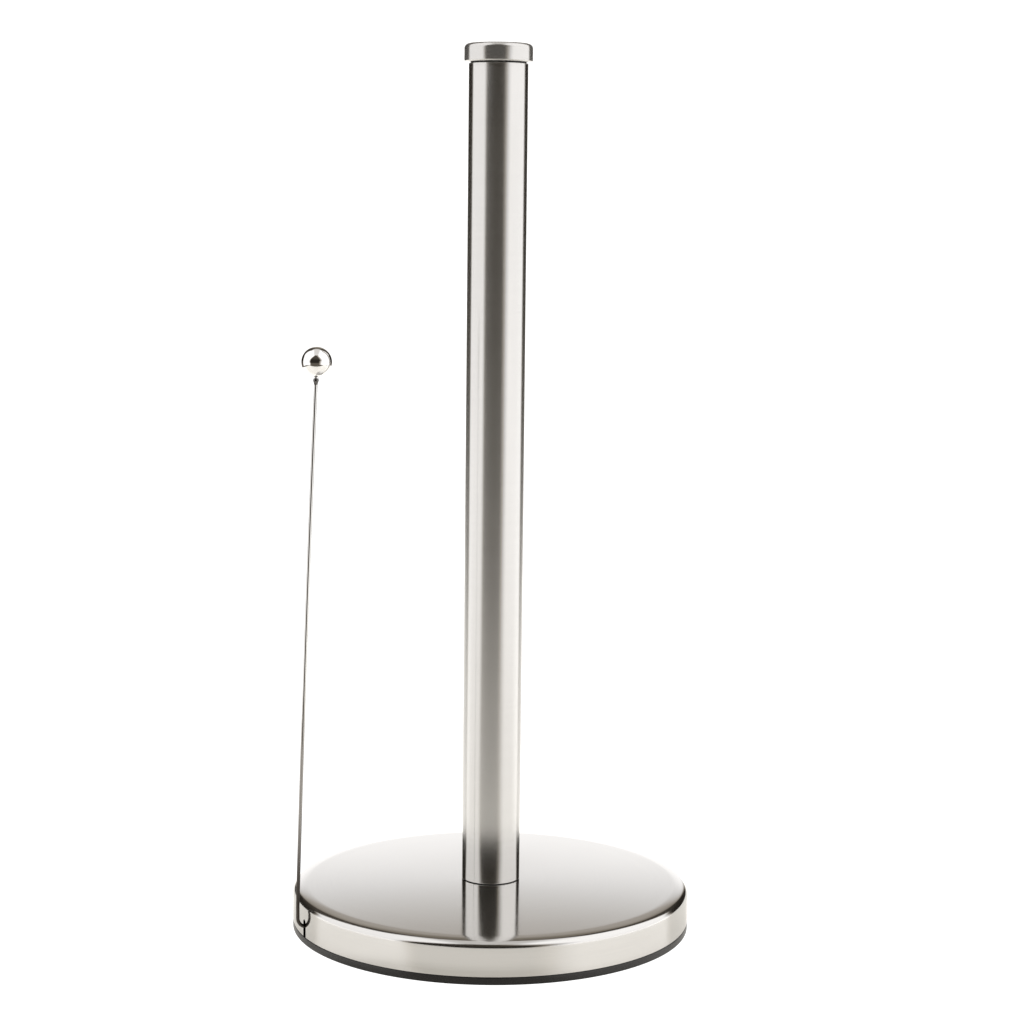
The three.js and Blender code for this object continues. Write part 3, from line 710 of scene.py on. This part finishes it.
def mast():
    inner, outer = BORE_R + DRESSED_R, MAST_R - DRESSED_R
    outline = [
        *arc(inner, MAST_LOW + DRESSED_R, DRESSED_R, 180, 270, 3),
        *arc(outer, MAST_LOW + DRESSED_R, DRESSED_R, 270, 360, 4),
        *[(MAST_R, MAST_LOW + (MAST_TOP - MAST_LOW) * i / 12) for i in range(1, 12)],
        *arc(outer, MAST_TOP - DRESSED_R, DRESSED_R, 0, 90, 4),
        *arc(inner, MAST_TOP - DRESSED_R, DRESSED_R, 90, 180, 3),
    ]
    return turned("mast_steel_tube", outline, mast_steel)


def cap():
    bevel, bevel_r, edge = 0.6, 0.25, 2.0
    lip, face, mark = 0.4, 0.12, 0.25
    outline = [
        (0.0, STUD_LOW),
        (STUD_R, STUD_LOW),
        (STUD_R, CAP_LOW),
        (CAP_R - bevel - 0.1, CAP_LOW),
        *arc(CAP_R - bevel_r, CAP_LOW + bevel, bevel_r, 315, 360, 4),
        (CAP_R, CAP_LOW + 2.5),
        *arc(CAP_R - edge, CAP_TOP - edge, edge, 0, 90, 14),
        (CAP_R - 3.0, CAP_TOP),
        (CAP_R - 3.0 - lip, CAP_TOP - face),
        (1.0, CAP_TOP - face),
        (0.6, CAP_TOP - mark),
        (0.0, CAP_TOP - mark),
    ]
    return turned("turned_cap", outline, cap_steel)


def bush():
    body, flange, flange_low = BORE_R - 0.3, MAST_R - 0.8, 366.1
    rib, rib_depth, rib_height = 3.5, 0.7, 2.4
    ribs = []
    for i in range(4):
        ribs += [(body - rib_depth, BUSH_LOW + rib * i), (body, BUSH_LOW + rib_height + rib * i)]
    foot, shoulder = [(BUSH_HOLE_R, BUSH_LOW)], [(body, flange_low), (flange, flange_low)]
    outline = [*foot, *ribs, *shoulder, (flange, BUSH_TOP), (BUSH_HOLE_R, BUSH_TOP)]
    return turned("cap_bush_nylon", outline, black_nylon, 128)


finished(mast(), "stand", "brushed_stainless", "mast_tube")
finished(cap(), "stand", "brushed_stainless", "top_cap")
finished(bush(), "stand", "black_nylon", "cap_bush")

# %% [markdown]
# ## The black plate and the foot pad
#
# A moulded plate closes the base from below. Its rim lies flush under the steel, stops a hair above the
# table and shows as a thin dark band. A wall goes on up inside the cover and centres it. The plate has
# four bosses for its screws and a notch where the arm comes out. The pad is a rubber disc with fine
# rings moulded in it, which hold the holder still while a sheet is torn off.

# %% Tools for the plate
PLATE_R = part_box("base_plate")[1].x / MM
PLATE_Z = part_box("base_plate")[0].z / MM
PLATE_HOLE_R, PLATE_FLOOR_Z = 11.0, 3.3
WALL_R, WALL_T, WALL_TOP = 83.8, 2.0, 8.0
PAD_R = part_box("foot_pad")[1].x / MM
PAD_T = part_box("foot_pad")[1].z / MM
SCREW_CIRCLE_R = 50
SCREW_PLACES = []
for turn in (45, 135, 225, 315):
    around_axis = Matrix.Rotation(math.radians(turn), 4, "Z")
    SCREW_PLACES.append(ARM_TURN @ around_axis @ Vector((SCREW_CIRCLE_R * MM, 0, 0)))


def post(radius, low, high, at):
    """A plain round tool for cutting a hole or adding a boss."""
    made = turned("post", [(0, low), (radius, low), (radius, high), (0, high)], None, 48)
    return place(made, Matrix.Translation(at))


def posts(radius, low, high):
    """The same post at each of the four screws."""
    return [post(radius, low, high, at) for at in SCREW_PLACES]


print("plate radius", round(PLATE_R, 2), "and pad radius", round(PAD_R, 2), "mm")

# %% Mould the plate and the pad
def plate():
    under, gap = PAD_T + 0.3, 0.3
    outline = [
        (PLATE_HOLE_R, under),
        (PAD_R + gap, under),
        (PAD_R + gap, PLATE_Z + 0.2),
        (PAD_R + gap + 0.2, PLATE_Z),
        *arc(PLATE_R - 0.4, PLATE_Z + 0.4, 0.4, 270, 360, 8),
        *arc(PLATE_R - 0.2, SKIRT_Z - 0.35, 0.2, 0, 90, 4),
        (WALL_R, SKIRT_Z - 0.15),
        (WALL_R, WALL_TOP),
        (WALL_R - WALL_T, WALL_TOP),
        (WALL_R - WALL_T, PLATE_FLOOR_Z),
        (PLATE_HOLE_R, PLATE_FLOOR_Z),
    ]
    made = turned("moulded_base_plate", outline, black_plastic, 384)
    boss_r, boss_top, shank_hole_r, head_hole_r, head_hole_top = 6.0, 6.7, 2.3, 4.1, 4.6
    carve(made, "UNION", *posts(boss_r, under + 0.01, boss_top))
    notch = block("notch tool", 7.0, 5.0, 6.0, ARM_TURN @ at_mm(WALL_R - 0.5, 0, 6.3))
    holes = posts(shank_hole_r, 0.0, WALL_TOP) + posts(head_hole_r, 0.0, head_hole_top)
    return carve(made, "DIFFERENCE", notch, *holes)


def pad():
    first, step, outer, inner, depth, edge = 4.0, 6.6, 0.9, 0.5, 0.45, 0.35
    ring = [(-outer, 0.0), (-inner, depth), (inner, depth), (outer, 0.0)]
    outline = [(0.0, 0.0)]
    for middle in [first + step * i for i in range(11)]:
        outline += [(middle + off, height) for off, height in ring]
    outline += [*arc(PAD_R - edge, edge, edge, 270, 360, 4), (PAD_R, PAD_T), (0.0, PAD_T)]
    return turned("rubber_foot_pad", outline, foot_rubber)


finished(plate(), "stand", "black_plastic", "base_plate")
finished(pad(), "stand", "foot_rubber", "foot_pad")

# %% [markdown]
# ## The wire arm
#
# The arm is one spring wire. It leaves its hub level, turns up in a tight bend just outside the skirt,
# and then leans towards the mast, a little more with every centimetre, so that it bows gently against
# the roll. Geometry Nodes sweep a round section along that line. A number on each point of the line,
# called swell, thickens the wire into the small brazed neck under the ball.

# %% Tree that sweeps a wire along a line
def new_tree(name, inputs):
    """An empty geometry tree with named inputs, and its two end nodes."""
    tree = bpy.data.node_groups.new(name, "GeometryNodeTree")
    tree.interface.new_socket("Geometry", in_out="INPUT", socket_type="NodeSocketGeometry")
    for label, kind, value in inputs:
        socket = tree.interface.new_socket(label, in_out="INPUT", socket_type=kind)
        if value is not None:
            socket.default_value = value
    tree.interface.new_socket("Geometry", in_out="OUTPUT", socket_type="NodeSocketGeometry")
    start = tree.nodes.new("NodeGroupInput")
    end = tree.nodes.new("NodeGroupOutput")
    return tree, {s.name: Wire(tree, s) for s in start.outputs if s.name}, end


def close_tree(tree, geometry, material, end):
    """Realizes instances and sets the material, as the last nodes of every tree."""
    whole = node(tree, "GeometryNodeRealizeInstances", None, geometry)
    painted = node(tree, "GeometryNodeSetMaterial", None, Geometry=whole, Material=material)
    tree.links.new(painted.socket, end.inputs[0])


def wire_tree():
    tree, given, end = new_tree("sweep a wire", [
        ("Wire Radius", "NodeSocketFloat", 0.75 * MM),
        ("Sides", "NodeSocketInt", 24),
        ("Finish", "NodeSocketMaterial", None),
    ])
    line = node(tree, "GeometryNodeMeshToCurve", None, Mesh=given["Geometry"])
    swell = node(tree, "GeometryNodeInputNamedAttribute", dict(data_type="FLOAT"), Name="swell")
    size = dict(Resolution=given["Sides"], Radius=given["Wire Radius"])
    section = node(tree, "GeometryNodeCurvePrimitiveCircle", None, **size)
    body = {"Curve": line, "Profile Curve": section, "Scale": swell, "Fill Caps": True}
    swept = node(tree, "GeometryNodeCurveToMesh", None, **body)
    close_tree(tree, swept, given["Finish"], end)
    return tree


def grown(name, mesh, tree, settings):
    """Runs a geometry tree over a mesh and keeps the result as a plain mesh."""
    made = piece_of(name, mesh)
    step = made.modifiers.new("grow", "NODES")
    step.node_group = tree
    for item in tree.interface.items_tree:
        if item.in_out == "INPUT" and item.name in settings:
            step[item.identifier] = settings[item.name]
    kept(made)
    sharpen(made.data)
    return made


def line_mesh(points, swells, matrix):
    """A mesh of single edges through points in millimetres, with a swell on each point."""
    mesh = bpy.data.meshes.new("line")
    edges = [(i, i + 1) for i in range(len(points) - 1)]
    mesh.from_pydata([(x * MM, y * MM, z * MM) for x, y, z in points], edges, [])
    mesh.attributes.new("swell", "FLOAT", "POINT").data.foreach_set("value", swells)
    mesh.transform(matrix)
    return mesh


sweep_a_wire = wire_tree()
print("tree with inputs:", [item.name for item in sweep_a_wire.interface.items_tree])

# %% [markdown]
# The wire's line is worked out from the same few numbers as the engineering solid: the pivot, the bend,
# the foot outside the skirt and the ball's middle. Above the bend the line is a parabola, which is how
# a slim rod bows under an even pull.

# %% Bend the wire
PIVOT_X, PIVOT_Z = 70.0, 7.9
FOOT_X, BEND_R = 87.9, 4.0
BOW_LOW = PIVOT_Z + BEND_R + 7.0
BALL_R, BALL_Z = 6.3, 244.0
LEAN_FOOT, LEAN_TOP = 0.0285, 0.0455
WIRE_R, WIRE_IN_HUB = 0.75, 3.3
NECK_STOPS = [(5.0, 1.2), (6.5, 1.2), (7.5, 1.6), (9.0, 1.0), (9.6, 1.0)]
NECK_LINE, WIRE_END = 12.0, 1.5
RISE = BALL_Z - BOW_LOW


def bow_x(share):
    """How far out the wire stands, in millimetres, at a share of its rise."""
    lean = LEAN_FOOT * share + (LEAN_TOP - LEAN_FOOT) / 2 * share**2
    return FOOT_X - lean * RISE


def neck_swell(below_ball):
    """How much thicker the wire is, by the distance in millimetres below the ball's middle."""
    for (d0, s0), (d1, s1) in zip(NECK_STOPS, NECK_STOPS[1:]):
        if below_ball < d1:
            share = max(0.0, (below_ball - d0) / (d1 - d0))
            return s0 + (s1 - s0) * share
    return 1.0


def arm_line():
    """The whole wire: level in the hub, round the bend, up the bow and, in finer steps, the neck."""
    bend = arc(FOOT_X - BEND_R, PIVOT_Z + BEND_R, BEND_R, -90, 0, 18)
    neck_low = BALL_Z - NECK_LINE
    heights = [BOW_LOW + (neck_low - BOW_LOW) * i / 60 for i in range(61)]
    heights += [neck_low + (NECK_LINE - WIRE_END) * (i + 1) / 30 for i in range(30)]
    bow = [(bow_x((z - BOW_LOW) / RISE), z) for z in heights]
    points = [(PIVOT_X + WIRE_IN_HUB, 0.0, PIVOT_Z)] + [(x, 0.0, z) for x, z in bend + bow]
    swells = [neck_swell(BALL_Z - z) for _, _, z in points]
    return line_mesh(points, swells, ARM_TURN)


def ball():
    """The ball, turned with the wire's bore from below, then leant and moved on to the wire."""
    bore = WIRE_R * NECK_STOPS[0][1] + 0.03
    start = math.degrees(math.asin(bore / BALL_R)) - 90.0
    outline = [(0.0, -0.5), (bore, -0.5), *arc(0.0, 0.0, BALL_R, start, 90.0, 64)]
    outline[-1] = (0.0, BALL_R)
    made = turned("polished_ball", outline, chrome, 128)
    lean = Matrix.Rotation(-LEAN_TOP, 4, "Y")
    return place(made, ARM_TURN @ at_mm(bow_x(1.0), 0, BALL_Z) @ lean)


wire_settings = {"Wire Radius": WIRE_R * MM, "Sides": 24, "Finish": chrome}
wire = grown("polished_wire", arm_line(), sweep_a_wire, wire_settings)
finished(wire, "arm", "polished_chrome", "arm_wire")
finished(ball(), "arm", "polished_chrome", "arm_ball")

# %% [markdown]
# ## The spring inside the base
#
# A torsion spring sits round the arm's pin. Its coil is a helix, again swept by the wire tree. One leg
# stands up against the bracket and stays with the stand. The other lies under the hub and turns with
# the arm, so it is a piece of its own.

# %% Wind the spring
SPRING_R, SPRING_WIRE_R, SPRING_TURNS = 3.0, 0.5, 4.25
SPRING_FROM_Y, SPRING_TO_Y, SPRING_LEG_UP = 2.2, 7.3, 3.7
AT_PIVOT = ARM_TURN @ at_mm(PIVOT_X, 0, PIVOT_Z)


def coil_line():
    steps = 200
    points = []
    for i in range(steps + 1):
        angle = -math.pi / 2 - 2 * math.pi * SPRING_TURNS * i / steps
        y = SPRING_FROM_Y + (SPRING_TO_Y - SPRING_FROM_Y) * i / steps
        points.append((SPRING_R * math.cos(angle), y, SPRING_R * math.sin(angle)))
    points.append((-SPRING_R, SPRING_TO_Y, SPRING_LEG_UP))
    return line_mesh(points, [1.0] * len(points), AT_PIVOT)


def leg_line():
    """The leg under the hub, which rises a little so that it clears the plate when the arm is out."""
    points = [(0.02, SPRING_FROM_Y, -SPRING_R), (3.4, SPRING_FROM_Y, -2.8), (5.6, SPRING_FROM_Y, -2.66)]
    return line_mesh(points, [1.0] * len(points), AT_PIVOT)


spring_settings = {"Wire Radius": SPRING_WIRE_R * MM, "Sides": 12, "Finish": spring_steel}
coil = grown("arm_spring_coil", coil_line(), sweep_a_wire, spring_settings)
leg = grown("arm_spring_leg", leg_line(), sweep_a_wire, spring_settings)
finished(coil, "stand", "spring_steel", "arm_spring")
finished(leg, "arm", "spring_steel")

# %% [markdown]
# ## Screws
#
# Four screws hold the plate and two hold the bracket. One screw is turned and gets its crossed recess;
# a tree then sets a copy on every point of a small mesh and gives each its own turn, because nobody
# lines up the recesses of screws.

# %% Tree that sets screws on points
def screw_tree():
    tree, given, end = new_tree("set screws", [
        ("Screw", "NodeSocketObject", None),
        ("Seed", "NodeSocketInt", 7),
        ("Finish", "NodeSocketMaterial", None),
    ])
    points = node(tree, "GeometryNodeMeshToPoints", None, Mesh=given["Geometry"])
    one = node(tree, "GeometryNodeObjectInfo", None, given["Screw"], out=4)
    turn = node(tree, "FunctionNodeRandomValue", dict(data_type="FLOAT"), Seed=given["Seed"], out=1)
    spin = node(tree, "ShaderNodeCombineXYZ", None, 0.0, 0.0, turn * (2 * math.pi))
    copies = node(tree, "GeometryNodeInstanceOnPoints", None, Points=points, Instance=one, Rotation=spin)
    close_tree(tree, copies, given["Finish"], end)
    return tree


def one_screw(head_r, head_h, shank_r, length, recess):
    """A pan-head screw that points up, with its head's underside at height 0."""
    pitch, depth, first, round_r = 0.7, 0.22 * shank_r, 0.1, head_h * 0.6
    thread = []
    for i in range(int((length - 1.0) / pitch)):
        thread += [(shank_r, i * pitch + first), (shank_r - depth, i * pitch + pitch / 2)]
    outline = [
        (0.0, -head_h),
        *arc(head_r - round_r, round_r - head_h, round_r, 270, 360, 6),
        (head_r, 0.0),
        *thread,
        (shank_r / 2, length),
        (0.0, length),
    ]
    made = turned("screw", outline, zinc, 32)
    for turn in (0, 90):
        at_head = at_mm(0, 0, -head_h) @ Matrix.Rotation(math.radians(turn), 4, "Z")
        carve(made, "DIFFERENCE", block("recess", recess, recess / 4, 2.0, at_head))
    return made


def screws(name, sample, places, seed):
    """A copy of the sample screw on every place, as one mesh."""
    mesh = bpy.data.meshes.new(name)
    mesh.from_pydata(places, [], [])
    settings = {"Screw": sample, "Seed": seed, "Finish": zinc}
    made = grown(name, mesh, set_screws, settings)
    bpy.data.objects.remove(sample)
    return made


set_screws = screw_tree()
PLATE_SCREW_Z, BRACKET_SCREW_Z = 4.3, 11.6
BRACKET_SCREW_X, BRACKET_SCREW_Y = 59.5, 5.0
plate_screw = one_screw(head_r=3.8, head_h=2.2, shank_r=2.0, length=9.7, recess=4.0)
plate_places = [p + Vector((0, 0, PLATE_SCREW_Z * MM)) for p in SCREW_PLACES]
plate_screws = screws("plate_screws", plate_screw, plate_places, 7)
finished(plate_screws, "stand", "zinc_plated", *[f"base_plate_screw_{i}" for i in (1, 2, 3, 4)])
bracket_screw = one_screw(head_r=2.7, head_h=1.5, shank_r=1.5, length=4.8, recess=2.8)
bracket_places = [
    ARM_TURN @ Vector((BRACKET_SCREW_X * MM, y * MM, BRACKET_SCREW_Z * MM))
    for y in (-BRACKET_SCREW_Y, BRACKET_SCREW_Y)
]
bracket_screws = screws("bracket_screws", bracket_screw, bracket_places, 3)
finished(bracket_screws, "stand", "zinc_plated", "bracket_screw_1", "bracket_screw_2")

# %% [markdown]
# ## Finishes for the solids that stay
#
# The weight, the bolt, the bracket, the hub and their small parts keep their engineering solids, which
# already have the right shape, and take a finish of their own.

# %% Paint the solids inside the base
INSIDE = {
    "ballast_weight": rough_iron,
    "mast_foot_plug": zinc,
    "mast_bolt": zinc,
    "bolt_lock_washer": spring_steel,
    "bolt_washer": zinc,
    "arm_hub": zinc,
    "hub_set_screw": zinc,
    "pivot_pin": zinc,
    "pin_clip_left": spring_steel,
    "pin_clip_right": spring_steel,
    "pivot_bracket": zinc,
}
for name, material in INSIDE.items():
    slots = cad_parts[name].data.materials
    if slots:
        slots[0] = material
    else:
        slots.append(material)
print(len(INSIDE), "solids keep their shape")
